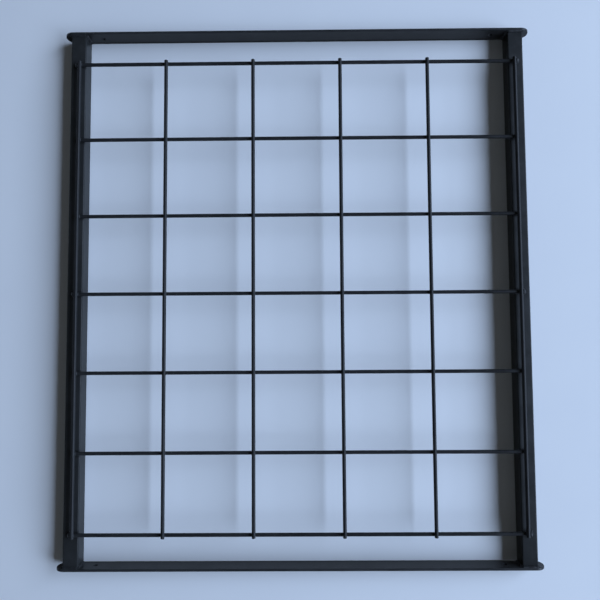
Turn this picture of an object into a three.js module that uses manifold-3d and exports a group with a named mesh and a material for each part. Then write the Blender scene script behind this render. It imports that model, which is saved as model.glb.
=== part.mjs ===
// Window security guard: two flat steel bars joined by two square-tube rails, with a grid of
// round wires welded across the rails' front faces. Millimetres, +Z up, +X to the right and the
// guard's front facing -Y. The origin is the centre of the bottom bar's underside, which sits on
// the window sill.
import * as THREE from "three";
import { mergeVertices } from "three/addons/utils/BufferGeometryUtils.js";
import Module from "manifold-3d";

// Overall sizes
const GUARD_HEIGHT = 700; // from sill face to head face
const FLAT_LENGTH = 620; // each flat bar, over its rounded ends

// Bar, tube and wire stock
const FLAT_DEPTH = 25.4;
const FLAT_THICKNESS = 3.175;
const EAR_LENGTH = 10; // each bar's end, past the rail's outer face
const RAIL_SIDE = 20;
const RAIL_WALL = 1.2;
const RAIL_CORNER_RADIUS = 1.6;
const WIRE_DIAMETER = 4.76;

// Wire grid
const GRID_COLUMNS = 5;
const GRID_ROWS = 6;
const END_WIRE_SEAT = 5.75; // end upright wires, outboard of the rails' inner faces
const END_ROW_INSET = 45.2; // first and last cross wires, in from the bars' outer faces
const WIRE_OVERHANG = 3.175; // each wire's end, past the last wire that it crosses

// Screw holes, with a broken edge on each bar's inner face
const SCREW_HOLE_DIAMETER = 5.2;
const SCREW_HOLE_FROM_RAIL = 18.8;
const BROKEN_EDGE_DIAMETER = 6.2;
const BROKEN_EDGE_DEPTH = 0.5;

// Welds
const FILLET_LEG = 2.5;
const TACK_WIDTH = 5;
const TACK_HEIGHT = 8.4;
const WELD_GAP = 0.3; // clearance kept between neighbouring solids that are welded together

// How round shapes are divided
const END_ARC_SEGMENTS = 28;
const TUBE_CORNER_SEGMENTS = 5;
const WIRE_SIDES = 24;
const HOLE_SIDES = 36;
const FILLET_FACE_SEGMENTS = 5;
const TACK_SIDES = 20;
const TACK_RINGS = 6;
const CUT_OVERRUN = 1; // how far a cutter passes the face it opens

// Places that follow from the sizes
const RAIL_OUTER_X = FLAT_LENGTH / 2 - EAR_LENGTH;
const RAIL_CENTRE_X = RAIL_OUTER_X - RAIL_SIDE / 2;
const RAIL_INNER_X = RAIL_OUTER_X - RAIL_SIDE;
const RAIL_FRONT_Y = -RAIL_SIDE / 2;
const LEDGE = (FLAT_DEPTH - RAIL_SIDE) / 2; // how far a bar stands proud of a rail, front and back
const WIRE_RADIUS = WIRE_DIAMETER / 2;
const CROSS_WIRE_Y = RAIL_FRONT_Y - WELD_GAP - WIRE_RADIUS;
const UPRIGHT_WIRE_Y = CROSS_WIRE_Y - WELD_GAP - WIRE_DIAMETER;
const END_WIRE_X = RAIL_INNER_X + END_WIRE_SEAT;
const TOP_ROW_Z = GUARD_HEIGHT - END_ROW_INSET;
const BOTTOM_ROW_Z = END_ROW_INSET;
const COLUMN_PITCH = (2 * END_WIRE_X) / GRID_COLUMNS;
const ROW_PITCH = (TOP_ROW_Z - BOTTOM_ROW_Z) / GRID_ROWS;

const PAINT_ROUGHNESS = 0.42;
const PAINT_METALNESS = 0.05;
const BAR_BLACK = 0x1b1c20;
const RAIL_BLACK = 0x191a1e;
const WIRE_BLACK = 0x17181b;
const WELD_BLACK = 0x1e1f23;

const wasm = await Module();
wasm.setup();

const guard = new THREE.Group();
addFlatBars(guard);
addRails(guard);
addCrossWires(guard);
addUprightWires(guard);
addCornerWelds(guard);
addTackWelds(guard);

export default guard;

// The bars lie across the guard's two ends; the screw heads bear on their inner faces.
function addFlatBars(parent) {
  const bottom = named("bottom_flat_bar", flatBarGeometry(), BAR_BLACK);
  parent.add(bottom);
  const top = named("top_flat_bar", flatBarGeometry(), BAR_BLACK);
  top.rotation.x = Math.PI;
  top.position.z = GUARD_HEIGHT;
  parent.add(top);
}

// A full-round-ended flat, lying on z = 0, with a screw hole near each rail.
function flatBarGeometry() {
  const endRadius = FLAT_DEPTH / 2;
  const straightX = FLAT_LENGTH / 2 - endRadius;
  const outline = new THREE.Shape();
  outline.moveTo(-straightX, -endRadius);
  outline.lineTo(straightX, -endRadius);
  outline.absarc(straightX, 0, endRadius, -Math.PI / 2, Math.PI / 2);
  outline.lineTo(-straightX, endRadius);
  outline.absarc(-straightX, 0, endRadius, Math.PI / 2, 1.5 * Math.PI);
  const bar = new THREE.ExtrudeGeometry(outline, {
    depth: FLAT_THICKNESS,
    bevelEnabled: false,
    curveSegments: END_ARC_SEGMENTS,
  });
  const holeX = RAIL_INNER_X - SCREW_HOLE_FROM_RAIL;
  const cutters = [-holeX, holeX].map((x) => screwCutter().translate(x, 0, 0));
  return cutAway(bar, cutters);
}

// The space cut for a screw: a through hole whose edge is broken at the bar's upper face.
function screwCutter() {
  const holeRadius = SCREW_HOLE_DIAMETER / 2;
  const mouthRadius = BROKEN_EDGE_DIAMETER / 2;
  const profile = [
    new THREE.Vector2(0, -CUT_OVERRUN),
    new THREE.Vector2(holeRadius, -CUT_OVERRUN),
    new THREE.Vector2(holeRadius, FLAT_THICKNESS - BROKEN_EDGE_DEPTH),
    new THREE.Vector2(mouthRadius, FLAT_THICKNESS),
    new THREE.Vector2(mouthRadius, FLAT_THICKNESS + CUT_OVERRUN),
    new THREE.Vector2(0, FLAT_THICKNESS + CUT_OVERRUN),
  ];
  return new THREE.LatheGeometry(profile, HOLE_SIDES).rotateX(Math.PI / 2);
}

// Square tubes stand between the bars, with their open ends closed off by them.
function addRails(parent) {
  const foot = FLAT_THICKNESS + WELD_GAP;
  const geometry = railGeometry(GUARD_HEIGHT - 2 * foot);
  for (const [name, x] of [["left_rail_tube", -RAIL_CENTRE_X], ["right_rail_tube", RAIL_CENTRE_X]]) {
    const rail = named(name, geometry.clone(), RAIL_BLACK);
    rail.position.set(x, 0, foot);
    parent.add(rail);
  }
}

function railGeometry(length) {
  const section = new THREE.Shape();
  traceRoundedSquare(section, RAIL_SIDE, RAIL_CORNER_RADIUS);
  const bore = new THREE.Path();
  traceRoundedSquare(bore, RAIL_SIDE - 2 * RAIL_WALL, RAIL_CORNER_RADIUS - RAIL_WALL);
  section.holes.push(bore);
  return new THREE.ExtrudeGeometry(section, {
    depth: length,
    bevelEnabled: false,
    curveSegments: TUBE_CORNER_SEGMENTS,
  });
}

function traceRoundedSquare(path, side, radius) {
  const centre = side / 2 - radius;
  path.absarc(centre, centre, radius, 0, Math.PI / 2);
  path.absarc(-centre, centre, radius, Math.PI / 2, Math.PI);
  path.absarc(-centre, -centre, radius, Math.PI, 1.5 * Math.PI);
  path.absarc(centre, -centre, radius, 1.5 * Math.PI, 2 * Math.PI);
  path.closePath();
}

// Cross wires lie on the rails' front faces, numbered from the top.
function addCrossWires(parent) {
  const length = 2 * (END_WIRE_X + WIRE_OVERHANG);
  for (let row = 0; row <= GRID_ROWS; row++) {
    const wire = named(`horizontal_wire_${row + 1}`, wireGeometry(length), WIRE_BLACK);
    wire.rotation.y = Math.PI / 2;
    wire.position.set(0, CROSS_WIRE_Y, TOP_ROW_Z - row * ROW_PITCH);
    parent.add(wire);
  }
}

// Upright wires lie on the front of the cross wires, numbered from the left.
function addUprightWires(parent) {
  const length = TOP_ROW_Z - BOTTOM_ROW_Z + 2 * WIRE_OVERHANG;
  for (let column = 0; column <= GRID_COLUMNS; column++) {
    const wire = named(`vertical_wire_${column + 1}`, wireGeometry(length), WIRE_BLACK);
    wire.position.set(column * COLUMN_PITCH - END_WIRE_X, UPRIGHT_WIRE_Y, GUARD_HEIGHT / 2);
    parent.add(wire);
  }
}

// A straight round wire along Z, centred on the origin.
function wireGeometry(length) {
  const wire = new THREE.CylinderGeometry(WIRE_RADIUS, WIRE_RADIUS, length, WIRE_SIDES);
  return wire.rotateX(Math.PI / 2);
}

// A fillet bead runs along each face of each rail where it meets a bar.
function addCornerWelds(parent) {
  const barFace = FLAT_THICKNESS + WELD_GAP;
  const ends = [["top", GUARD_HEIGHT - barFace, -1], ["bottom", barFace, 1]];
  const rails = [["left", -1], ["right", 1]];
  for (const [endName, z, up] of ends) {
    for (const [railName, outward] of rails) {
      for (const [sideName, angle, room] of beadSides(outward)) {
        const name = `weld_${endName}_${railName}_${sideName}`;
        const bead = named(name, filletBeadGeometry(room, up), WELD_BLACK);
        const reach = RAIL_SIDE / 2 + WELD_GAP;
        bead.rotation.z = angle;
        bead.position.set(
          outward * RAIL_CENTRE_X + reach * Math.cos(angle),
          reach * Math.sin(angle),
          z,
        );
        parent.add(bead);
      }
    }
  }
}

// A rail's four faces: name, the way the face looks, and the bar's room in front of it.
function beadSides(outward) {
  const ledgeRoom = LEDGE - WELD_GAP;
  return [
    ["front", -Math.PI / 2, ledgeRoom],
    ["rear", Math.PI / 2, ledgeRoom],
    ["outer", outward > 0 ? 0 : Math.PI, FILLET_LEG],
    ["inner", outward > 0 ? Math.PI : 0, FILLET_LEG],
  ];
}

// A bead along Y in the corner of a face x = 0 and a bar face z = 0, with a bulging front.
function filletBeadGeometry(room, up) {
  const alongBar = Math.min(FILLET_LEG, room);
  const upRail = up * FILLET_LEG;
  const section = new THREE.Shape();
  section.moveTo(0, 0);
  section.lineTo(alongBar, 0);
  section.quadraticCurveTo(0.75 * alongBar, 0.75 * upRail, 0, upRail);
  section.closePath();
  const run = RAIL_SIDE - 2 * RAIL_CORNER_RADIUS;
  const bead = new THREE.ExtrudeGeometry(section, {
    depth: run,
    bevelEnabled: false,
    curveSegments: FILLET_FACE_SEGMENTS,
  });
  return bead.translate(0, 0, -run / 2).rotateX(Math.PI / 2);
}

// Tacks hold the grid to the rails, outboard of the end wires, at its top, middle and bottom rows.
function addTackWelds(parent) {
  const centreX = END_WIRE_X + WIRE_OVERHANG + WELD_GAP + TACK_WIDTH / 2;
  const rows = [["top", 0], ["middle", Math.round(GRID_ROWS / 2)], ["bottom", GRID_ROWS]];
  for (const [railName, outward] of [["left", -1], ["right", 1]]) {
    for (const [rowName, row] of rows) {
      const tack = named(`tack_weld_${railName}_${rowName}`, tackGeometry(), WELD_BLACK);
      tack.position.set(
        outward * centreX,
        RAIL_FRONT_Y - WELD_GAP,
        TOP_ROW_Z - row * ROW_PITCH,
      );
      parent.add(tack);
    }
  }
}

// An oval dome with its flat base on y = 0, rising towards -Y to the upright wire's centre.
function tackGeometry() {
  const rise = RAIL_FRONT_Y - WELD_GAP - UPRIGHT_WIRE_Y;
  const quarter = new THREE.EllipseCurve(0, 0, 1, 1, 0, Math.PI / 2);
  const profile = [new THREE.Vector2(0, 0), ...quarter.getPoints(TACK_RINGS)];
  profile[profile.length - 1].x = 0;
  const dome = new THREE.LatheGeometry(profile, TACK_SIDES).rotateX(Math.PI);
  return dome.scale(TACK_WIDTH / 2, rise, TACK_HEIGHT / 2);
}

function named(name, geometry, color) {
  const paint = new THREE.MeshStandardMaterial({
    color,
    roughness: PAINT_ROUGHNESS,
    metalness: PAINT_METALNESS,
  });
  const mesh = new THREE.Mesh(geometry, paint);
  mesh.name = name;
  return mesh;
}

// The body with each cutter's space taken out of it.
function cutAway(body, cutters) {
  let solid = toSolid(body);
  for (const cutter of cutters) {
    solid = solid.subtract(toSolid(cutter));
  }
  const { numProp, vertProperties, triVerts } = solid.getMesh();
  const geometry = new THREE.BufferGeometry();
  geometry.setAttribute("position", new THREE.BufferAttribute(vertProperties, numProp));
  geometry.setIndex(new THREE.BufferAttribute(triVerts, 1));
  geometry.computeVertexNormals();
  return geometry;
}

function toSolid(geometry) {
  const bare = geometry.clone();
  bare.deleteAttribute("normal");
  bare.deleteAttribute("uv");
  const merged = mergeVertices(bare);
  return new wasm.Manifold(
    new wasm.Mesh({
      numProp: 3,
      vertProperties: merged.attributes.position.array,
      triVerts: new Uint32Array(merged.index.array),
    }),
  );
}
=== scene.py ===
import bmesh
import bpy
import numpy as np
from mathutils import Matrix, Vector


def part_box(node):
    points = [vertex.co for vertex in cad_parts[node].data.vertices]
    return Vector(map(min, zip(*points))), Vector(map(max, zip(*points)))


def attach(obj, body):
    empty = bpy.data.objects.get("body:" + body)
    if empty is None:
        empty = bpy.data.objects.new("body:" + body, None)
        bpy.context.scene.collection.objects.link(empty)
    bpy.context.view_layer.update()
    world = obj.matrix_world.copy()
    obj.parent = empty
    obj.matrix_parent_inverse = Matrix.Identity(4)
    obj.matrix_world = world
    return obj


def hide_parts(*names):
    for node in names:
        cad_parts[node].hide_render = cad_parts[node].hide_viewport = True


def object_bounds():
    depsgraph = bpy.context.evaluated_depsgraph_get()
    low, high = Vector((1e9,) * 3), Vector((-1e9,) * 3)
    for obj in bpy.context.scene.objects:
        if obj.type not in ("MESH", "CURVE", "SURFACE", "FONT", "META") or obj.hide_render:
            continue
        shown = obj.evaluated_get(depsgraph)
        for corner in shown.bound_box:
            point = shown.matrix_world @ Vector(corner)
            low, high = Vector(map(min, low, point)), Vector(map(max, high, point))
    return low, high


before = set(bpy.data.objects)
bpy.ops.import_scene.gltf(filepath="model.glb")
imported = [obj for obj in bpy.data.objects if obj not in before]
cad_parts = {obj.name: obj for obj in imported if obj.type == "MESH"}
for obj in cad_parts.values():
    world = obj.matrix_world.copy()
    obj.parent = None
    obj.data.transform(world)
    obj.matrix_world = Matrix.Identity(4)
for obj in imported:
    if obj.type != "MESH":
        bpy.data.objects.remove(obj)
cad_low, cad_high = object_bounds()


# Camera. It stands about 0.7 m in front of the guard, a little below its middle, and looks slightly up. Its
# place is measured from the middle of the guard's own box, and the lens takes in the whole guard.
EYE_RIGHT_OF_MIDDLE = 0.0081
EYE_BELOW_MIDDLE = 0.0508
EYE_BEFORE_ORIGIN = 0.7254
LOOK_UP = np.radians(3.342)
LOOK_LEFT = np.radians(0.452)
TILT = np.radians(0.363)
LENS_LENGTH = 33.23
camera = bpy.data.objects.new("camera", bpy.data.cameras.new("camera"))
camera.data.sensor_width = 36.0
camera.data.lens = LENS_LENGTH
camera.data.clip_start = 0.01
camera.data.clip_end = 60.0
camera.location = (
    (cad_low.x + cad_high.x) / 2 + EYE_RIGHT_OF_MIDDLE,
    -EYE_BEFORE_ORIGIN,
    (cad_low.z + cad_high.z) / 2 - EYE_BELOW_MIDDLE,
)
camera.rotation_euler = (np.pi / 2 + LOOK_UP, TILT, LOOK_LEFT)
bpy.context.scene.collection.objects.link(camera)
bpy.context.scene.camera = camera
bpy.context.scene.view_settings.view_transform = "Standard"


# Backdrop. A matt off-white paper sheet hangs against the guard's back edges, curves forward far below it
# and ends as a floor. It shows only from its front and not from very near, so that the guard's back can be
# seen and lit, and the light that it throws on is dimmed, as in a large room.
SHEET_BEHIND_GUARD = 0.0006
SHEET_TOP = 3.2
SHEET_BEND_TOP = -2.95
SHEET_BEND_RADIUS = 0.35
SHEET_BEND_STEPS = 17
SHEET_FRONT = -1.6
SHEET_HALF_WIDTH = 6.0
SHEET_COLUMNS = 9
SHEET_PAPER = (0.74, 0.75, 0.76, 1.0)
SHEET_PAPER_SHADE = (0.70, 0.71, 0.73, 1.0)
SHEET_BOUNCE = (0.50, 0.50, 0.48, 1.0)
SEEN_THROUGH_WITHIN = 0.006


def grid_faces(rows, columns, rows_close=False, columns_close=False):
    """Corner numbers of the four-cornered faces of a grid of points. A direction that closes joins its last
    line of points to its first."""
    row = np.arange(rows if rows_close else rows - 1)
    column = np.arange(columns if columns_close else columns - 1)
    row, column = np.meshgrid(row, column, indexing="ij")
    next_row = (row + 1) % rows
    next_column = (column + 1) % columns
    corners = [
        row * columns + column,
        next_row * columns + column,
        next_row * columns + next_column,
        row * columns + next_column,
    ]
    return np.stack(corners, -1).reshape(-1, 4)


def hanging_sheet():
    """A profile of (y, z) points carried straight across in x. The profile drops down the plane behind the
    guard, turns forward through a quarter circle, and runs level to the front."""
    back = cad_high.y + SHEET_BEHIND_GUARD
    turn = np.linspace(0, np.pi / 2, SHEET_BEND_STEPS)
    y = np.concatenate([[back], back - SHEET_BEND_RADIUS * (1 - np.cos(turn)), [SHEET_FRONT]])
    z = np.concatenate(
        [
            [SHEET_TOP],
            SHEET_BEND_TOP - SHEET_BEND_RADIUS * np.sin(turn),
            [SHEET_BEND_TOP - SHEET_BEND_RADIUS],
        ]
    )
    x = np.linspace(-SHEET_HALF_WIDTH, SHEET_HALF_WIDTH, SHEET_COLUMNS)
    points = np.empty((len(y), len(x), 3))
    points[..., 0] = x
    points[..., 1] = y[:, None]
    points[..., 2] = z[:, None]
    return points


sheet_points = hanging_sheet()
sheet_mesh = bpy.data.meshes.new("paper_backdrop")
sheet_mesh.from_pydata(
    sheet_points.reshape(-1, 3).tolist(), [], grid_faces(*sheet_points.shape[:2]).tolist()
)
sheet_mesh.polygons.foreach_set("use_smooth", np.ones(len(sheet_mesh.polygons), bool))
paper_backdrop = bpy.data.objects.new("paper_backdrop", sheet_mesh)
bpy.context.scene.collection.objects.link(paper_backdrop)

paper = bpy.data.materials.new("off_white_paper")
paper.use_nodes = True
paper_nodes = paper.node_tree.nodes
paper_links = paper.node_tree.links
paper_shader = paper_nodes["Principled BSDF"]
paper_shader.inputs["Roughness"].default_value = 0.9
paper_shader.inputs["Specular IOR Level"].default_value = 0.2
paper_place = paper_nodes.new("ShaderNodeTexCoord")
paper_fibre = paper_nodes.new("ShaderNodeTexNoise")
paper_fibre.inputs["Scale"].default_value = 9.0
paper_fibre.inputs["Detail"].default_value = 6.0
paper_tone = paper_nodes.new("ShaderNodeMix")
paper_tone.data_type = "RGBA"
paper_tone.inputs["A"].default_value = SHEET_PAPER
paper_tone.inputs["B"].default_value = SHEET_PAPER_SHADE
paper_links.new(paper_place.outputs["Object"], paper_fibre.inputs["Vector"])
paper_links.new(paper_fibre.outputs["Fac"], paper_tone.inputs["Factor"])
paper_bounce = paper_nodes.new("ShaderNodeMix")
paper_bounce.data_type = "RGBA"
paper_bounce.inputs["B"].default_value = SHEET_BOUNCE
paper_links.new(paper_tone.outputs["Result"], paper_bounce.inputs["A"])
paper_links.new(paper_bounce.outputs["Result"], paper_shader.inputs["Base Color"])
paper_side = paper_nodes.new("ShaderNodeNewGeometry")
paper_path = paper_nodes.new("ShaderNodeLightPath")
paper_near = paper_nodes.new("ShaderNodeMath")
paper_near.operation = "LESS_THAN"
paper_near.inputs[1].default_value = SEEN_THROUGH_WITHIN
paper_open = paper_nodes.new("ShaderNodeMath")
paper_open.operation = "MAXIMUM"
paper_clear = paper_nodes.new("ShaderNodeBsdfTransparent")
paper_mix = paper_nodes.new("ShaderNodeMixShader")
paper_links.new(paper_path.outputs["Is Diffuse Ray"], paper_bounce.inputs["Factor"])
paper_links.new(paper_path.outputs["Ray Length"], paper_near.inputs[0])
paper_links.new(paper_near.outputs["Value"], paper_open.inputs[0])
paper_links.new(paper_side.outputs["Backfacing"], paper_open.inputs[1])
paper_links.new(paper_open.outputs["Value"], paper_mix.inputs["Fac"])
paper_links.new(paper_shader.outputs["BSDF"], paper_mix.inputs[1])
paper_links.new(paper_clear.outputs["BSDF"], paper_mix.inputs[2])
paper_links.new(paper_mix.outputs["Shader"], paper_nodes["Material Output"].inputs["Surface"])
sheet_mesh.materials.append(paper)


# Studio light. One tall soft light, cool like a window, stands to the right and forward, so that shadows
# fall to the left. A dim room surrounds the guard. A second soft light above and behind it lights its back,
# and is kept out of reflections.
GUARD_MIDDLE = (cad_low + cad_high) / 2
KEY_TURN = np.radians(55)
KEY_DISTANCE = 5.0
KEY_WIDTH = 3.0
KEY_HEIGHT = 6.5
KEY_WATTS = 510.0
KEY_COLOUR = (0.57, 0.725, 1.0)
REAR_TURN = np.radians(152)
REAR_DISTANCE = 1.9
REAR_RISE = 2.7
REAR_SIZE = 3.0
REAR_WATTS = 190.0
REAR_COLOUR = (0.80, 0.90, 1.0)
ROOM_COLOUR = (0.060, 0.065, 0.069, 1.0)
ROOM_SEEN_COLOUR = (0.40, 0.48, 0.60, 1.0)


def soft_light(name, turn, distance, rise, width, height, watts, colour):
    """A flat light that faces the guard's middle. It stands at distance along a level line turned from
    straight in front towards the right by turn, and rise higher."""
    lamp = bpy.data.lights.new(name, "AREA")
    lamp.shape = "RECTANGLE"
    lamp.size = width
    lamp.size_y = height
    lamp.energy = watts
    lamp.color = colour
    holder = bpy.data.objects.new(name, lamp)
    away = np.array([np.sin(turn), -np.cos(turn), 0.0]) * distance + np.array([0, 0, rise])
    holder.location = np.array(GUARD_MIDDLE) + away
    holder.rotation_euler = (GUARD_MIDDLE - holder.location).to_track_quat("-Z", "Y").to_euler()
    holder.visible_camera = False
    bpy.context.scene.collection.objects.link(holder)
    return holder


soft_light("window_light", KEY_TURN, KEY_DISTANCE, 0.0, KEY_WIDTH, KEY_HEIGHT, KEY_WATTS, KEY_COLOUR)
rear_light = soft_light(
    "rear_light", REAR_TURN, REAR_DISTANCE, REAR_RISE, REAR_SIZE, REAR_SIZE, REAR_WATTS, REAR_COLOUR
)
rear_light.visible_glossy = False

room = bpy.data.worlds.new("dim_room")
room.use_nodes = True
room_nodes = room.node_tree.nodes
room_links = room.node_tree.links
room_nodes["Background"].inputs["Color"].default_value = ROOM_COLOUR
room_seen = room_nodes.new("ShaderNodeBackground")
room_seen.inputs["Color"].default_value = ROOM_SEEN_COLOUR
room_path = room_nodes.new("ShaderNodeLightPath")
room_mix = room_nodes.new("ShaderNodeMixShader")
room_links.new(room_path.outputs["Is Camera Ray"], room_mix.inputs["Fac"])
room_links.new(room_nodes["Background"].outputs["Background"], room_mix.inputs[1])
room_links.new(room_seen.outputs["Background"], room_mix.inputs[2])
room_links.new(room_mix.outputs["Shader"], room_nodes["World Output"].inputs["Surface"])
bpy.context.scene.world = room


# Flat bars. The head and sill bars are hot-rolled flat steel with full-round ends. Each has two screw holes
# with an edge broken on the side that faces into the opening. Like the whole guard they are satin black.
BAR_EDGE_RADIUS = 0.0005
BAR_EDGE_STEPS = 6
BAR_SUPPORT = 0.0006
BAR_END_STATIONS = 20
BAR_OUTER_STATIONS = 6
BAR_MIDDLE_STATIONS = 42
BAR_FLAT_RUB = 0.25
HOLE_STATIONS = 20
HOLE_FROM_RAIL = 0.0188
HOLE_THROAT_RADIUS = 0.0026
HOLE_MOUTH_RADIUS = 0.0031
HOLE_MOUTH_DEPTH = 0.0005
HOLE_MOUTH_EASE = 0.00018
RIBS_SPREAD_AT_HOLE = 0.0070
BAR_COAT = (0.0200, 0.0208, 0.0222, 1.0)
BAR_COAT_PALE = (0.0320, 0.0330, 0.0350, 1.0)
PRIMER_GREY = (0.075, 0.076, 0.078, 1.0)
DUST_GREY = (0.16, 0.16, 0.155, 1.0)


def new_effect(name, inputs, outputs):
    """A shader node group with the named float, vector and colour sockets. It returns the group and its end
    nodes."""
    effect = bpy.data.node_groups.new(name, "ShaderNodeTree")
    for socket, kind, value in inputs:
        made = effect.interface.new_socket(socket, in_out="INPUT", socket_type=kind)
        if value is not None:
            made.default_value = value
    for socket, kind in outputs:
        effect.interface.new_socket(socket, in_out="OUTPUT", socket_type=kind)
    return effect, effect.nodes.new("NodeGroupInput"), effect.nodes.new("NodeGroupOutput")


def noise(tree, place, scale, detail=2.0, roughness=0.5):
    """A noise texture fed by a place socket. Its scale is a number or a socket, in cells per metre."""
    node = tree.nodes.new("ShaderNodeTexNoise")
    node.inputs["Detail"].default_value = detail
    node.inputs["Roughness"].default_value = roughness
    tree.links.new(place, node.inputs["Vector"])
    if isinstance(scale, bpy.types.NodeSocket):
        tree.links.new(scale, node.inputs["Scale"])
    else:
        node.inputs["Scale"].default_value = scale
    return node.outputs["Fac"]


def maths(tree, operation, *values, clamp=False):
    """One Math node. Each value is a number or a socket."""
    node = tree.nodes.new("ShaderNodeMath")
    node.operation = operation
    node.use_clamp = clamp
    for slot_number, value in enumerate(values):
        if isinstance(value, bpy.types.NodeSocket):
            tree.links.new(value, node.inputs[slot_number])
        else:
            node.inputs[slot_number].default_value = value
    return node.outputs["Value"]


def spread(tree, value, low, high, to_low=0.0, to_high=1.0):
    """A Map Range node that eases value from low..high to to_low..to_high. Each end may be a number or a
    socket."""
    node = tree.nodes.new("ShaderNodeMapRange")
    node.interpolation_type = "SMOOTHSTEP"
    ends = {"Value": value, "From Min": low, "From Max": high, "To Min": to_low, "To Max": to_high}
    for socket, end in ends.items():
        if isinstance(end, bpy.types.NodeSocket):
            tree.links.new(end, node.inputs[socket])
        else:
            node.inputs[socket].default_value = end
    return node.outputs["Result"]


def blend_colours(tree, mask, first, second):
    """A colour Mix node from first to second by mask. Each colour is a value or a socket."""
    node = tree.nodes.new("ShaderNodeMix")
    node.data_type = "RGBA"
    tree.links.new(mask, node.inputs["Factor"])
    for socket, colour in (("A", first), ("B", second)):
        if isinstance(colour, bpy.types.NodeSocket):
            tree.links.new(colour, node.inputs[socket])
        else:
            node.inputs[socket].default_value = colour
    return node.outputs["Result"]


FINE_DIMPLES_TO_ONE = 4.0
FINE_DIMPLE_SHARE = 0.25
NIBS_PER_METRE = 420.0
NIB_LIMITS = (0.74, 0.82)


def make_coat_peel():
    """Orange peel of a baked coat: soft dimples at one size, finer ones at a quarter of it, and a few nibs
    of dust baked in. The height is the weighted sum."""
    effect, given, result = new_effect(
        "coat_peel",
        [
            ("Place", "NodeSocketVector", None),
            ("Dimples per Metre", "NodeSocketFloat", 600.0),
            ("Nibs", "NodeSocketFloat", 0.5),
        ],
        [("Height", "NodeSocketFloat")],
    )
    place = given.outputs["Place"]
    dimples = noise(effect, place, given.outputs["Dimples per Metre"], 1.0)
    fine_scale = maths(effect, "MULTIPLY", given.outputs["Dimples per Metre"], FINE_DIMPLES_TO_ONE)
    fine = noise(effect, place, fine_scale, 1.0)
    nib = spread(effect, noise(effect, place, NIBS_PER_METRE, 0.0), *NIB_LIMITS)
    height = maths(effect, "MULTIPLY", dimples, 1 - FINE_DIMPLE_SHARE)
    height = maths(effect, "MULTIPLY_ADD", fine, FINE_DIMPLE_SHARE, height)
    height = maths(effect, "MULTIPLY_ADD", nib, given.outputs["Nibs"], height)
    effect.links.new(height, result.inputs["Height"])
    return effect


SMEARS_TO_A_PATCH = 9.0
SMEAR_SHARE = 0.35
PATCH_LIMITS = (0.34, 0.68)
SMEAR_LIMITS = (0.45, 0.75)


def make_coat_tone():
    """Uneven gloss and tone of the coat: broad cloudy patches, with finer handling smears over them. Colour
    goes from deep to pale and roughness from shiny to dull by the same mask."""
    effect, given, result = new_effect(
        "coat_tone",
        [
            ("Place", "NodeSocketVector", None),
            ("Deep Colour", "NodeSocketColor", BAR_COAT),
            ("Pale Colour", "NodeSocketColor", BAR_COAT_PALE),
            ("Patches per Metre", "NodeSocketFloat", 22.0),
            ("Shiny Roughness", "NodeSocketFloat", 0.34),
            ("Dull Roughness", "NodeSocketFloat", 0.50),
        ],
        [("Colour", "NodeSocketColor"), ("Roughness", "NodeSocketFloat")],
    )
    place = given.outputs["Place"]
    clouds = noise(effect, place, given.outputs["Patches per Metre"], 5.0, 0.6)
    smear_scale = maths(effect, "MULTIPLY", given.outputs["Patches per Metre"], SMEARS_TO_A_PATCH)
    smears = noise(effect, place, smear_scale, 3.0, 0.7)
    mask = maths(effect, "MULTIPLY", spread(effect, clouds, *PATCH_LIMITS), 1 - SMEAR_SHARE)
    mask = maths(effect, "MULTIPLY_ADD", spread(effect, smears, *SMEAR_LIMITS), SMEAR_SHARE, mask)
    tone = blend_colours(effect, mask, given.outputs["Deep Colour"], given.outputs["Pale Colour"])
    dullness = spread(
        effect, mask, 0.0, 1.0, given.outputs["Shiny Roughness"], given.outputs["Dull Roughness"]
    )
    effect.links.new(tone, result.inputs["Colour"])
    effect.links.new(dullness, result.inputs["Roughness"])
    return effect


LONG_RUBS_PER_METRE = 14.0
RUB_LIMITS = (0.98, 1.28)


def make_edge_rub():
    """Coat rubbed thin along edges. The piece's own edge amount is multiplied by the sum of a fine and a
    broad noise, and only what stays above a limit shows."""
    effect, given, result = new_effect(
        "edge_rub",
        [
            ("Place", "NodeSocketVector", None),
            ("Edge", "NodeSocketFloat", 0.0),
            ("Breaks per Metre", "NodeSocketFloat", 160.0),
            ("Amount", "NodeSocketFloat", 0.5),
        ],
        [("Mask", "NodeSocketFloat")],
    )
    breaks = noise(effect, given.outputs["Place"], given.outputs["Breaks per Metre"], 4.0, 0.65)
    long_rubs = noise(effect, given.outputs["Place"], LONG_RUBS_PER_METRE, 2.0)
    broken = maths(effect, "MULTIPLY", given.outputs["Edge"], maths(effect, "ADD", breaks, long_rubs))
    worn = spread(effect, broken, *RUB_LIMITS)
    mask = maths(effect, "MULTIPLY", worn, given.outputs["Amount"], clamp=True)
    effect.links.new(mask, result.inputs["Mask"])
    return effect


DUST_SLOPE_LIMITS = (0.2, 0.95)
GRAINS_PER_METRE = 260.0
GRAIN_LIMITS = (0.42, 0.70)
DRIFTS_PER_METRE = 30.0
DRIFT_LIMITS = (0.35, 0.7)
THINNEST_DRIFT = 0.3


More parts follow.
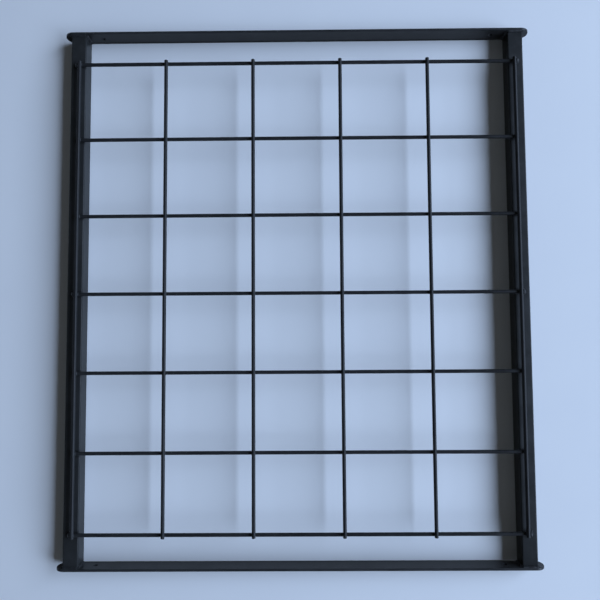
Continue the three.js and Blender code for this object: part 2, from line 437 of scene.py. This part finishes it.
def make_settled_dust():
    """Fine dust on faces that look upwards: the upward share of the face's own direction, thinned by a fine
    noise for the grains and a broad one for the drifts."""
    effect, given, result = new_effect(
        "settled_dust",
        [("Place", "NodeSocketVector", None), ("Amount", "NodeSocketFloat", 0.1)],
        [("Mask", "NodeSocketFloat")],
    )
    face = effect.nodes.new("ShaderNodeNewGeometry")
    parts = effect.nodes.new("ShaderNodeSeparateXYZ")
    effect.links.new(face.outputs["Normal"], parts.inputs["Vector"])
    upward = spread(effect, parts.outputs["Z"], *DUST_SLOPE_LIMITS)
    grains = noise(effect, given.outputs["Place"], GRAINS_PER_METRE, 6.0, 0.75)
    grains = spread(effect, grains, *GRAIN_LIMITS)
    drifts = noise(effect, given.outputs["Place"], DRIFTS_PER_METRE, 3.0)
    drifts = spread(effect, drifts, *DRIFT_LIMITS, THINNEST_DRIFT, 1.0)
    mask = maths(effect, "MULTIPLY", maths(effect, "MULTIPLY", upward, grains), drifts)
    mask = maths(effect, "MULTIPLY", mask, given.outputs["Amount"], clamp=True)
    effect.links.new(mask, result.inputs["Mask"])
    return effect


COAT_PEEL = make_coat_peel()
COAT_TONE = make_coat_tone()
EDGE_RUB = make_edge_rub()
SETTLED_DUST = make_settled_dust()
COAT_IOR = 1.42
COAT_SPECULAR_LEVEL = 0.20
RUB_DULLS_BY = 0.12
DUST_DULLS_BY = 0.6


def black_coat(name, deep, pale, shiny, dull, patches, dimples, dimple_depth, rub, dust, nibs=0.35):
    """Black baked coat on steel. Tone and gloss come from the cloudy patches, the worn edges show grey
    primer, and dust lies on upward faces. The dimples only bend the light."""
    material = bpy.data.materials.new(name)
    material.use_nodes = True
    tree = material.node_tree
    shader = tree.nodes["Principled BSDF"]
    shader.inputs["Metallic"].default_value = 0.0
    shader.inputs["IOR"].default_value = COAT_IOR
    shader.inputs["Specular IOR Level"].default_value = COAT_SPECULAR_LEVEL
    place = tree.nodes.new("ShaderNodeTexCoord").outputs["Object"]

    def placed(effect, **values):
        """One shared effect on this coat's own place, with its other sockets set by name."""
        node = tree.nodes.new("ShaderNodeGroup")
        node.node_tree = effect
        tree.links.new(place, node.inputs["Place"])
        for socket, value in values.items():
            node.inputs[socket.replace("_", " ")].default_value = value
        return node

    tone = placed(
        COAT_TONE,
        Deep_Colour=deep,
        Pale_Colour=pale,
        Patches_per_Metre=patches,
        Shiny_Roughness=shiny,
        Dull_Roughness=dull,
    )
    worn = placed(EDGE_RUB, Amount=rub)
    edge = tree.nodes.new("ShaderNodeAttribute")
    edge.attribute_name = "edge"
    tree.links.new(edge.outputs["Fac"], worn.inputs["Edge"])
    settled = placed(SETTLED_DUST, Amount=dust)
    peel = placed(COAT_PEEL, Dimples_per_Metre=dimples, Nibs=nibs)
    colour = blend_colours(tree, worn.outputs["Mask"], tone.outputs["Colour"], PRIMER_GREY)
    colour = blend_colours(tree, settled.outputs["Mask"], colour, DUST_GREY)
    tree.links.new(colour, shader.inputs["Base Color"])
    roughness = tone.outputs["Roughness"]
    roughness = maths(tree, "MULTIPLY_ADD", worn.outputs["Mask"], RUB_DULLS_BY, roughness)
    roughness = maths(tree, "MULTIPLY_ADD", settled.outputs["Mask"], DUST_DULLS_BY, roughness, clamp=True)
    tree.links.new(roughness, shader.inputs["Roughness"])
    bump = tree.nodes.new("ShaderNodeBump")
    bump.inputs["Distance"].default_value = dimple_depth
    tree.links.new(peel.outputs["Height"], bump.inputs["Height"])
    tree.links.new(bump.outputs["Normal"], shader.inputs["Normal"])
    return material


MERGE_WITHIN = 2e-6


def joined_mesh(name, sheets, material):
    """One closed mesh from sheets of points. Each sheet is (points, edge amounts, rows close, columns
    close). Points that coincide become one, faces that lose a corner become triangles, and faces turn
    outwards."""
    corners = []
    faces = []
    edge = []
    first = 0
    for points, amounts, rows_close, columns_close in sheets:
        rows, columns = points.shape[:2]
        corners.append(points.reshape(-1, 3))
        edge.append(np.broadcast_to(amounts, (rows, columns)).ravel())
        faces.append(grid_faces(rows, columns, rows_close, columns_close) + first)
        first += rows * columns
    mesh = bpy.data.meshes.new(name)
    mesh.from_pydata(np.concatenate(corners).tolist(), [], np.concatenate(faces).tolist())
    mesh.attributes.new("edge", "FLOAT", "POINT").data.foreach_set(
        "value", np.concatenate(edge).astype(np.float32)
    )
    work = bmesh.new()
    work.from_mesh(mesh)
    bmesh.ops.remove_doubles(work, verts=work.verts, dist=MERGE_WITHIN)
    bmesh.ops.recalc_face_normals(work, faces=work.faces)
    work.to_mesh(mesh)
    work.free()
    mesh.polygons.foreach_set("use_smooth", np.ones(len(mesh.polygons), bool))
    mesh.materials.append(material)
    return mesh


def fitted(name, mesh, slot, *nodes):
    """Puts a finished mesh on the guard's one body, in place of the named nodes. The slot argument is not
    used.
    """
    piece = bpy.data.objects.new(name, mesh)
    bpy.context.scene.collection.objects.link(piece)
    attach(piece, "root")
    if nodes:
        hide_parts(*nodes)


def bar_sheets(low, high, mouth_up, hole_x):
    """A flat bar as ribs carried round its outline. Each rib runs from the centre line or a hole's rim out
    across one face, over two eased edges, and back across the other face. Where a rib meets a hole it ends
    at the angle that the hole's own turned profile has there, so the two sheets meet point for point."""
    reach = (high.x - low.x) / 2
    half = (high.y - low.y) / 2
    straight = reach - half
    swing = np.linspace(0, np.pi / 2, BAR_END_STATIONS)
    round_hole = np.linspace(0, np.pi, HOLE_STATIONS + 1)
    at_hole = RIBS_SPREAD_AT_HOLE * (1 - 2 * round_hole / np.pi)
    outer_run = np.linspace(straight, hole_x + RIBS_SPREAD_AT_HOLE, BAR_OUTER_STATIONS)[1:-1]
    middle_run = np.linspace(
        hole_x - RIBS_SPREAD_AT_HOLE, RIBS_SPREAD_AT_HOLE - hole_x, BAR_MIDDLE_STATIONS
    )[1:-1]
    clear_outer = np.zeros_like(outer_run)
    clear_middle = np.zeros_like(middle_run)
    one_hole = np.ones_like(at_hole)
    rim_x = np.concatenate([outer_run, hole_x + at_hole, middle_run, at_hole - hole_x, -outer_run[::-1]])
    hole = np.concatenate([clear_outer, one_hole, clear_middle, one_hole, clear_outer])
    turn = np.concatenate([clear_outer, round_hole, clear_middle, round_hole, clear_outer])
    side = np.concatenate([clear_outer, one_hole * hole_x, clear_middle, -one_hole * hole_x, clear_outer])

    out_x = np.concatenate([np.cos(swing), 0 * rim_x, -np.cos(swing[::-1])])
    out_y = np.concatenate([np.sin(swing), 0 * rim_x + 1, np.sin(swing[::-1])])
    out = np.stack([out_x, out_y], -1)
    end_x = straight + half * np.cos(swing)
    rim = np.stack([np.concatenate([end_x, rim_x, -end_x[::-1]]), half * out_y], -1)

    def inner_ends(radius):
        """Where the ribs end inwards: on the hole's circle of this radius, or on the centre line."""
        x = np.where(hole > 0, side + radius * np.cos(turn), rim_x)
        y = np.where(hole > 0, radius * np.sin(turn), 0.0)
        x = np.concatenate([0 * swing + straight, x, 0 * swing - straight])
        y = np.concatenate([0 * swing, y, 0 * swing])
        return np.stack([x, y], -1)

    mouth = inner_ends(HOLE_MOUTH_RADIUS + HOLE_MOUTH_EASE)
    throat = inner_ends(HOLE_THROAT_RADIUS + HOLE_MOUTH_EASE)
    upper, lower = (mouth, throat) if mouth_up else (throat, mouth)

    def both_sides(line):
        """The front half of a loop after the back half, so that the line closes on itself."""
        front = line[-2:0:-1] * np.array([1, -1])
        return np.concatenate([line, front])

    upper, lower, rim, out = (both_sides(line) for line in (upper, lower, rim, out))
    arc = np.linspace(0, np.pi / 2, BAR_EDGE_STEPS)
    ease = BAR_EDGE_RADIUS * (1 - np.sin(arc))
    fall = BAR_EDGE_RADIUS * (1 - np.cos(arc))
    support = rim - out * (BAR_EDGE_RADIUS + BAR_SUPPORT)
    columns = [(upper, high.z, 0.0), ((upper + support) / 2, high.z, 0.0), (support, high.z, 0.0)]
    bared = BAR_FLAT_RUB + (1 - BAR_FLAT_RUB) * np.sin(2 * arc)
    columns += [
        (rim - out * inward, high.z - drop, amount) for inward, drop, amount in zip(ease, fall, bared)
    ]
    columns += [
        (rim - out * inward, low.z + drop, amount)
        for inward, drop, amount in zip(ease[::-1], fall[::-1], bared)
    ]
    columns += [(support, low.z, 0.0), ((lower + support) / 2, low.z, 0.0), (lower, low.z, 0.0)]
    points = np.stack([np.column_stack([plan, np.full(len(plan), z)]) for plan, z, _ in columns], 1)
    amounts = np.array([amount for _, _, amount in columns])
    sheets = [(points, amounts, True, False)]

    # The hole's turned profile, from its mouth to the far face, as (radius, depth, how much of an edge).
    face, inwards = (high.z, -1.0) if mouth_up else (low.z, 1.0)
    thickness = high.z - low.z
    slope = HOLE_MOUTH_DEPTH / (HOLE_MOUTH_RADIUS - HOLE_THROAT_RADIUS)
    slope_starts = HOLE_MOUTH_RADIUS + HOLE_MOUTH_EASE * 0.2
    sloped = HOLE_MOUTH_RADIUS - HOLE_MOUTH_EASE * 0.6
    slope_ends = HOLE_THROAT_RADIUS + HOLE_MOUTH_EASE
    profile = [
        (HOLE_MOUTH_RADIUS + HOLE_MOUTH_EASE, 0.0, 0.8),
        (HOLE_MOUTH_RADIUS + HOLE_MOUTH_EASE * 0.3, 0.0, 1.0),
        (sloped, (slope_starts - sloped) * slope, 0.8),
        (slope_ends, (slope_starts - slope_ends) * slope, 0.2),
        (HOLE_THROAT_RADIUS, HOLE_MOUTH_DEPTH + HOLE_MOUTH_EASE, 0.0),
        (HOLE_THROAT_RADIUS, thickness - HOLE_MOUTH_EASE * 2, 0.0),
        (HOLE_THROAT_RADIUS, thickness - HOLE_MOUTH_EASE, 0.5),
        (HOLE_THROAT_RADIUS + HOLE_MOUTH_EASE, thickness, 0.5),
    ]
    radius, depth, rub = np.array(profile).T
    height = face + inwards * depth
    angle = np.concatenate([round_hole, -round_hole[-2:0:-1]])
    for centre in (hole_x, -hole_x):
        hole_points = np.empty((len(angle), len(radius), 3))
        hole_points[..., 0] = centre + radius * np.cos(angle)[:, None]
        hole_points[..., 1] = radius * np.sin(angle)[:, None]
        hole_points[..., 2] = height
        sheets.append((hole_points, rub, True, False))
    return sheets


BAR_PAINT = black_coat(
    "bar_paint",
    BAR_COAT,
    BAR_COAT_PALE,
    shiny=0.32,
    dull=0.45,
    patches=20.0,
    dimples=620.0,
    dimple_depth=0.00003,
    rub=0.55,
    dust=0.22,
)
rail_inner_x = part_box("right_rail_tube")[0].x
for bar_name, mouth_up in (("top_flat_bar", False), ("bottom_flat_bar", True)):
    bar_low, bar_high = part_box(bar_name)
    bar_shape = bar_sheets(bar_low, bar_high, mouth_up, rail_inner_x - HOLE_FROM_RAIL)
    bar_piece = "coated_" + bar_name
    fitted(bar_piece, joined_mesh(bar_piece, bar_shape, BAR_PAINT), "bar_paint", bar_name)


# Side rails. Each is a length of square steel tube with small rounded corners, cut square and stood between
# the two flat bars. The coat lies a little smoother on tube than on rolled bar.
RAIL_WALL = 0.0012
RAIL_CORNER_RADIUS = 0.0016
RAIL_SUPPORT = 0.0007
RAIL_CORNER_STEPS = 8
RAIL_RINGS = 29
RAIL_CORNER_RUB = 0.45
RAIL_END_EASE = 0.0002
RAIL_CLEARANCE = 0.00004
RAIL_COAT = (0.0190, 0.0200, 0.0205, 1.0)
RAIL_COAT_PALE = (0.0300, 0.0315, 0.0325, 1.0)


def rounded_square(half, corner_radius, steps):
    """Points round a square of this half width with quarter-circle corners, with one extra point on each
    flat next to each corner. It also gives how much of an edge each point is."""
    arc = np.linspace(0, np.pi / 2, steps + 1)
    corner = half - corner_radius
    x = np.concatenate([[half], corner + corner_radius * np.cos(arc), [corner - RAIL_SUPPORT]])
    y = np.concatenate([[corner - RAIL_SUPPORT], corner + corner_radius * np.sin(arc), [half]])
    amount = np.concatenate([[0.0], RAIL_CORNER_RUB + (1 - RAIL_CORNER_RUB) * np.sin(2 * arc), [0.0]])
    quarter_turns = np.arange(4) * np.pi / 2
    loop_x = (np.cos(quarter_turns)[:, None] * x - np.sin(quarter_turns)[:, None] * y).ravel()
    loop_y = (np.sin(quarter_turns)[:, None] * x + np.cos(quarter_turns)[:, None] * y).ravel()
    return loop_x, loop_y, np.tile(amount, 4)


def rail_sheets(middle_x, middle_y, half, bottom, top):
    """A square tube: a rounded-square outline carried up the outside, over the cut end, down the inside as
    a smaller outline, and over the lower cut end back to the start."""
    outer_x, outer_y, outer_edge = rounded_square(half, RAIL_CORNER_RADIUS, RAIL_CORNER_STEPS)
    inner_radius = RAIL_CORNER_RADIUS - RAIL_WALL
    inner_x, inner_y, _ = rounded_square(half - RAIL_WALL, inner_radius, RAIL_CORNER_STEPS)
    shrink = 1 - RAIL_END_EASE / half
    runs = np.linspace(bottom + RAIL_END_EASE, top - RAIL_END_EASE, RAIL_RINGS)
    rings = [(outer_x * shrink, outer_y * shrink, bottom)]
    rings += [(outer_x, outer_y, z) for z in runs]
    rings += [(outer_x * shrink, outer_y * shrink, top)]
    rings += [(inner_x, inner_y, top), (inner_x, inner_y, bottom)]
    points = np.stack(
        [np.column_stack([middle_x + x, middle_y + y, np.full(len(x), z)]) for x, y, z in rings]
    )
    amounts = np.tile(outer_edge, (len(rings), 1))
    amounts[-2:] = 0.0
    return [(points, amounts, True, True)]


RAIL_PAINT = black_coat(
    "rail_paint",
    RAIL_COAT,
    RAIL_COAT_PALE,
    shiny=0.30,
    dull=0.42,
    patches=17.0,
    dimples=560.0,
    dimple_depth=0.000028,
    rub=0.35,
    dust=0.12,
)
bar_top_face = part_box("bottom_flat_bar")[1].z
bar_under_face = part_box("top_flat_bar")[0].z
for rail_name in ("left_rail_tube", "right_rail_tube"):
    rail_low, rail_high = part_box(rail_name)
    rail_shape = rail_sheets(
        (rail_low.x + rail_high.x) / 2,
        (rail_low.y + rail_high.y) / 2,
        (rail_high.x - rail_low.x) / 2,
        bar_top_face + RAIL_CLEARANCE,
        bar_under_face - RAIL_CLEARANCE,
    )
    rail_piece = "coated_" + rail_name
    fitted(rail_piece, joined_mesh(rail_piece, rail_shape, RAIL_PAINT), "rail_paint", rail_name)


# Cross wires. Seven straight lengths of drawn steel wire lie across the rails' front faces, sheared to
# length so that their cut ends stop on the rails. Welding pulls each one a hair out of line.
CROSS_WIRES = 7
WIRE_ROUND_STEPS = 20
WIRE_STATIONS = 41
WIRE_EASE_STEPS = 5
WIRE_TILT_REACH = 4.0
WIRE_CAP_RING = 0.6
WIRE_SHEAR_TILT = 0.10
WIRE_END_EASE = 0.00035
WIRE_BOW = 0.00030
wire_draws = np.random.default_rng(7)
WIRE_COAT = (0.0150, 0.0156, 0.0168, 1.0)
WIRE_COAT_PALE = (0.0240, 0.0250, 0.0265, 1.0)


def wire_sheets(start, end, radius, across, bow, tilt_start, tilt_end):
    """A round section carried from start to end. The middle line leans over by bow times a half sine wave
    in the across direction. Near each end the section shrinks through an eased edge to a sheared face,
    which leans by its tilt across the wire."""
    start = np.array(start)
    end = np.array(end)
    length = np.linalg.norm(end - start)
    along = (end - start) / length
    across = np.array(across)
    third = np.cross(along, across)
    ease = np.linspace(0, np.pi / 2, WIRE_EASE_STEPS)
    end_run = WIRE_END_EASE * (1 - np.sin(ease))
    end_radius = radius - WIRE_END_EASE * (1 - np.cos(ease))
    middle = np.linspace(2 * WIRE_END_EASE, length - 2 * WIRE_END_EASE, WIRE_STATIONS)
    station = np.concatenate([[0, 0], end_run[::-1], middle, length - end_run, [length, length]])
    cap = np.array([0, radius * WIRE_CAP_RING])
    size = np.concatenate([cap, end_radius[::-1], 0 * middle + radius, end_radius, cap[::-1]])
    edge = np.concatenate([[0.2, 0.6], 1 + 0 * ease, 0 * middle, 1 + 0 * ease, [0.6, 0.2]])
    angle = np.linspace(0, 2 * np.pi, WIRE_ROUND_STEPS, endpoint=False)
    near_start = np.clip(1 - station / (WIRE_TILT_REACH * radius), 0, 1)
    near_end = np.clip(1 - (length - station) / (WIRE_TILT_REACH * radius), 0, 1)
    lean = np.outer(tilt_start * near_start + tilt_end * near_end, np.cos(angle)) * size[:, None]
    lean[0] = 0
    lean[-1] = 0
    inside = np.maximum(tilt_start * near_start * radius, 0) - np.maximum(tilt_end * near_end * radius, 0)
    distance = station[:, None] + lean + np.abs(inside)[:, None] * np.sign(length / 2 - station)[:, None]
    aside = bow * np.sin(np.pi * station / length)
    points = start + distance[..., None] * along
    points = points + (aside[:, None] + size[:, None] * np.cos(angle))[..., None] * across
    points = points + (size[:, None] * np.sin(angle))[..., None] * third
    return [(points, edge[:, None], False, True)]


WIRE_PAINT = black_coat(
    "wire_paint",
    WIRE_COAT,
    WIRE_COAT_PALE,
    shiny=0.30,
    dull=0.42,
    patches=26.0,
    dimples=520.0,
    dimple_depth=0.00003,
    rub=0.45,
    dust=0.14,
)
rail_face_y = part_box("right_rail_tube")[0].y
row_heights = []
for row in range(1, CROSS_WIRES + 1):
    node_name = "horizontal_wire_%d" % row
    wire_low, wire_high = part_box(node_name)
    wire_radius = (wire_high.z - wire_low.z) / 2
    wire_z = (wire_low.z + wire_high.z) / 2
    row_y = rail_face_y - wire_radius
    row_heights.append(wire_z)
    tilts = wire_draws.uniform(-WIRE_SHEAR_TILT, WIRE_SHEAR_TILT, 2)
    wire_shape = wire_sheets(
        (wire_low.x, row_y, wire_z),
        (wire_high.x, row_y, wire_z),
        wire_radius,
        (0, 0, 1),
        wire_draws.uniform(-WIRE_BOW, WIRE_BOW),
        *tilts,
    )
    wire_piece = "cross_wire_%d" % row
    fitted(wire_piece, joined_mesh(wire_piece, wire_shape, WIRE_PAINT), "wire_paint", node_name)


# Upright wires. Six lengths of the same wire stand in front of the cross wires, each pressed a little into
# them by the spot welding, and run a few millimetres past the first and last cross wires.
UPRIGHT_WIRES = 6
WIRE_SET_DOWN = 0.00028
upright_places = []
for column in range(1, UPRIGHT_WIRES + 1):
    node_name = "vertical_wire_%d" % column
    wire_low, wire_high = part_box(node_name)
    wire_radius = (wire_high.x - wire_low.x) / 2
    wire_x = (wire_low.x + wire_high.x) / 2
    upright_y = row_y - 2 * wire_radius + WIRE_SET_DOWN
    upright_places.append(wire_x)
    tilts = wire_draws.uniform(-WIRE_SHEAR_TILT, WIRE_SHEAR_TILT, 2)
    wire_shape = wire_sheets(
        (wire_x, upright_y, wire_low.z),
        (wire_x, upright_y, wire_high.z),
        wire_radius,
        (1, 0, 0),
        wire_draws.uniform(-WIRE_BOW, WIRE_BOW),
        *tilts,
    )
    wire_piece = "upright_wire_%d" % column
    fitted(wire_piece, joined_mesh(wire_piece, wire_shape, WIRE_PAINT), "wire_paint", node_name)


# Crossing welds. Each place where an upright crosses a cross wire is spot welded, which squeezes a thin
# collar of steel out between the two wires. The collar shows in the four corners of the crossing.
COLLAR_REACH = 0.0027
COLLAR_REACH_SPREAD = 0.08
COLLAR_UNEVENNESS = 0.05
COLLAR_RINGS = 8
COLLAR_SIDES = 16
COLLAR_CORNER_SWELL = 0.13
COLLAR_THICKNESS = 0.0024
WELD_COAT = (0.0180, 0.0187, 0.0200, 1.0)
WELD_COAT_PALE = (0.0310, 0.0320, 0.0340, 1.0)
WELD_PAINT = black_coat(
    "weld_paint",
    WELD_COAT,
    WELD_COAT_PALE,
    shiny=0.26,
    dull=0.40,
    patches=60.0,
    dimples=900.0,
    dimple_depth=0.00006,
    rub=0.25,
    dust=0.15,
    nibs=0.8,
)


def collar_sheets(places, draws):
    """One collar per crossing: a flattened ball whose reach swells towards the four corners by the cosine
    of four times the angle, with a little drawn unevenness. Rows run from the front pole to the back."""
    pole = np.linspace(0, np.pi, COLLAR_RINGS)
    angle = np.linspace(0, 2 * np.pi, COLLAR_SIDES, endpoint=False)
    sheets = []
    for x, y, z in places:
        wave = draws.uniform(-COLLAR_UNEVENNESS, COLLAR_UNEVENNESS, 3)
        reach = COLLAR_REACH * draws.uniform(1 - COLLAR_REACH_SPREAD, 1 + COLLAR_REACH_SPREAD)
        reach = reach * (1 - COLLAR_CORNER_SWELL * np.cos(4 * angle))
        uneven = wave[0] * np.cos(angle) + wave[1] * np.sin(2 * angle) + wave[2] * np.sin(3 * angle)
        reach = reach * (1 + uneven)
        points = np.empty((len(pole), len(angle), 3))
        points[..., 0] = x + np.outer(np.sin(pole), reach * np.cos(angle))
        points[..., 1] = y - COLLAR_THICKNESS / 2 * np.cos(pole)[:, None]
        points[..., 2] = z + np.outer(np.sin(pole), reach * np.sin(angle))
        sheets.append((points, 0.0, False, True))
    return sheets


collar_draws = np.random.default_rng(21)
collar_y = (row_y + upright_y) / 2
crossings = [(x, collar_y, z) for z in row_heights for x in upright_places]
collar_shape = collar_sheets(crossings, collar_draws)
fitted("crossing_welds", joined_mesh("crossing_welds", collar_shape, WELD_PAINT), "weld_paint")


# Rail foot welds. Each rail is welded all round to both flat bars with a small fillet, laid as one short
# run on each side of the tube. The runs are lumpy, with the ripples of a hand-held torch, and meet at the
# tube's corners.
BEAD_LEG = 0.0021
BEAD_LEG_SPREAD = 0.06
BEAD_FULLNESS = 1.45
BEAD_STATIONS = 61
BEAD_SECTION_STEPS = 9
BEAD_RIPPLE = 0.07
BEAD_RIPPLE_PITCH = 0.0016
BEAD_RIPPLE_LAG = 1.1
BEAD_WANDER = 0.13
BEAD_END_SHARE = 0.05
BEAD_ROOT_SINK = 0.00035


def bead_sheets(middle_x, middle_y, half, face_z, upwards, facing, draws):
    """A fillet run. Its path follows one side of the tube and half of each rounded corner. Its section is
    a quarter of a superellipse between two toes, one on the bar and one on the tube, closed behind through
    the root. The legs swell and shrink in ripples along the path, with a slow drawn wander, and shrink to
    nothing at both ends."""
    corner = half - RAIL_CORNER_RADIUS
    arc_length = RAIL_CORNER_RADIUS * np.pi / 4
    total = 2 * corner + 2 * arc_length
    travel = np.linspace(0, total, BEAD_STATIONS)
    before = travel < arc_length
    after = travel > total - arc_length
    turn = np.where(before, (travel - arc_length) / RAIL_CORNER_RADIUS, 0.0)
    turn = np.where(after, (travel - total + arc_length) / RAIL_CORNER_RADIUS, turn)
    flat_run = np.clip(travel - arc_length, 0, 2 * corner) - corner
    side = flat_run + RAIL_CORNER_RADIUS * np.sin(turn)
    outward = corner + RAIL_CORNER_RADIUS * np.cos(turn)
    spin = facing + np.array([0.0, np.pi / 2])
    out_axis = np.array([np.cos(spin[0]), np.sin(spin[0])])
    side_axis = np.array([np.cos(spin[1]), np.sin(spin[1])])
    foot = np.outer(outward, out_axis) + np.outer(side, side_axis)
    normal = np.outer(np.cos(turn), out_axis) + np.outer(np.sin(turn), side_axis)

    share = travel / total
    phase = draws.uniform(0, 2 * np.pi, 6)
    wander = sum(np.sin(2 * np.pi * (k + 1) * share + phase[k]) / (k + 1.5) for k in range(4))
    ends = np.sqrt(np.clip(np.minimum(share, 1 - share) / BEAD_END_SHARE, 0, 1))
    swell = (1 + BEAD_WANDER * wander) * ends
    section = np.linspace(0, np.pi / 2, BEAD_SECTION_STEPS)
    crown = np.sin(2 * section)
    cycle = 2 * np.pi * travel[:, None] / BEAD_RIPPLE_PITCH + phase[5] + BEAD_RIPPLE_LAG * crown
    ripple = 1 + BEAD_RIPPLE * np.sin(cycle) * crown
    power = 2 / BEAD_FULLNESS
    leg = BEAD_LEG * draws.uniform(1 - BEAD_LEG_SPREAD, 1 + BEAD_LEG_SPREAD) * swell[:, None]
    away = leg * np.cos(section) ** power * ripple
    rise = leg * np.sin(section) ** power * ripple

    # Both toes sink a little below the bar's and the tube's faces, and the back closes through the root.
    sink = BEAD_ROOT_SINK * ends[:, None]
    away = np.concatenate([-sink, away - sink * 0.2, -sink], 1)
    rise = np.concatenate([-sink, rise - sink * 0.2, rise[:, -1:] * 0.6], 1)
    rise[:, 1] = -sink[:, 0] / 2
    away[:, -2] = -sink[:, 0] / 2
    points = np.empty(away.shape + (3,))
    points[..., 0] = middle_x + foot[:, :1] + normal[:, :1] * away
    points[..., 1] = middle_y + foot[:, 1:] + normal[:, 1:] * away
    points[..., 2] = face_z + upwards * rise
    return [(points, 0.0, False, True)]


bead_draws = np.random.default_rng(5)
for end_name, face_z, upwards in (("top", bar_under_face, -1.0), ("bottom", bar_top_face, 1.0)):
    for side_name in ("left", "right"):
        rail_low, rail_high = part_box(side_name + "_rail_tube")
        middle_x = (rail_low.x + rail_high.x) / 2
        middle_y = (rail_low.y + rail_high.y) / 2
        outer_facing = 0.0 if side_name == "right" else np.pi
        for face_name, facing in (
            ("front", -np.pi / 2),
            ("rear", np.pi / 2),
            ("outer", outer_facing),
            ("inner", outer_facing + np.pi),
        ):
            node_name = "weld_%s_%s_%s" % (end_name, side_name, face_name)
            bead_shape = bead_sheets(
                middle_x, middle_y, (rail_high.x - rail_low.x) / 2, face_z, upwards, facing, bead_draws
            )
            bead_name = "foot_weld_%s_%s_%s" % (end_name, side_name, face_name)
            fitted(bead_name, joined_mesh(bead_name, bead_shape, WELD_PAINT), "weld_paint", node_name)


# Tack welds. The wire panel is held to each rail by three blobs of weld, at its first, middle and last
# cross wires. Each lies on the rail's face, against the cross wire's cut end and the outermost upright.
TACK_REACH_OUT = 0.0036
TACK_REACH_IN = 0.0034
TACK_HALF_HEIGHT = 0.0043
TACK_RISE = 0.0068
TACK_CROWN_LEAN = 0.30
TACK_CROWN_SHIFT = 0.0007
TACK_RIPPLE = 0.03
TACK_SINK = 0.0004
TACK_OVER_WIRE_END = 0.0010
TACK_RINGS = 11
TACK_SIDES = 28


def tack_sheets(centre_x, centre_z, outwards, base_y, draws):
    """A blob on the rail's face. Its outline is an oval made uneven by three drawn sine waves, a little
    wider outwards than inwards. Its height falls from the crown, which leans towards the wire, to nothing
    at the outline as a rounded slope. Its underside falls from the outline to a point sunk in the rail."""
    shrink = np.linspace(1, 0, TACK_RINGS)
    angle = np.linspace(0, 2 * np.pi, TACK_SIDES, endpoint=False)
    phase = draws.uniform(0, 2 * np.pi, 3)
    uneven = 1 + 0.06 * np.sin(2 * angle + phase[0])
    uneven = uneven + 0.05 * np.sin(3 * angle + phase[1])
    uneven = uneven + 0.03 * np.sin(5 * angle + phase[2])
    reach = np.where(np.cos(angle) > 0, TACK_REACH_OUT, TACK_REACH_IN)
    x = outwards * reach * np.cos(angle) * uneven
    z = TACK_HALF_HEIGHT * np.sin(angle) * uneven
    out_share = np.outer(shrink, np.cos(angle))
    crown = TACK_RISE * (1 - shrink[:, None] ** 2.2) ** 0.75 * (1 - TACK_CROWN_LEAN * out_share)
    crown = crown * (1 + TACK_RIPPLE * np.sin(9 * shrink[:, None] + 2 * angle + phase[1]))
    top = np.empty((len(shrink), len(angle), 3))
    top[..., 0] = centre_x + np.outer(shrink, x) - outwards * TACK_CROWN_SHIFT * (1 - shrink[:, None])
    top[..., 1] = base_y - crown
    top[..., 2] = centre_z + np.outer(shrink, z)
    under = np.empty((2, len(angle), 3))
    under[0] = top[0]
    under[1] = (centre_x, base_y + TACK_SINK, centre_z)
    return [(top, 0.0, False, True), (under, 0.0, False, True)]


tack_draws = np.random.default_rng(11)
for row_name in ("top", "middle", "bottom"):
    for side_name, outwards in (("left", -1.0), ("right", 1.0)):
        node_name = "tack_weld_%s_%s" % (side_name, row_name)
        tack_low, tack_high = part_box(node_name)
        tack_x = (tack_low.x + tack_high.x) / 2 - outwards * TACK_OVER_WIRE_END
        tack_z = (tack_low.z + tack_high.z) / 2
        tack_shape = tack_sheets(tack_x, tack_z, outwards, rail_face_y, tack_draws)
        tack_name = "panel_tack_%s_%s" % (side_name, row_name)
        fitted(tack_name, joined_mesh(tack_name, tack_shape, WELD_PAINT), "weld_paint", node_name)
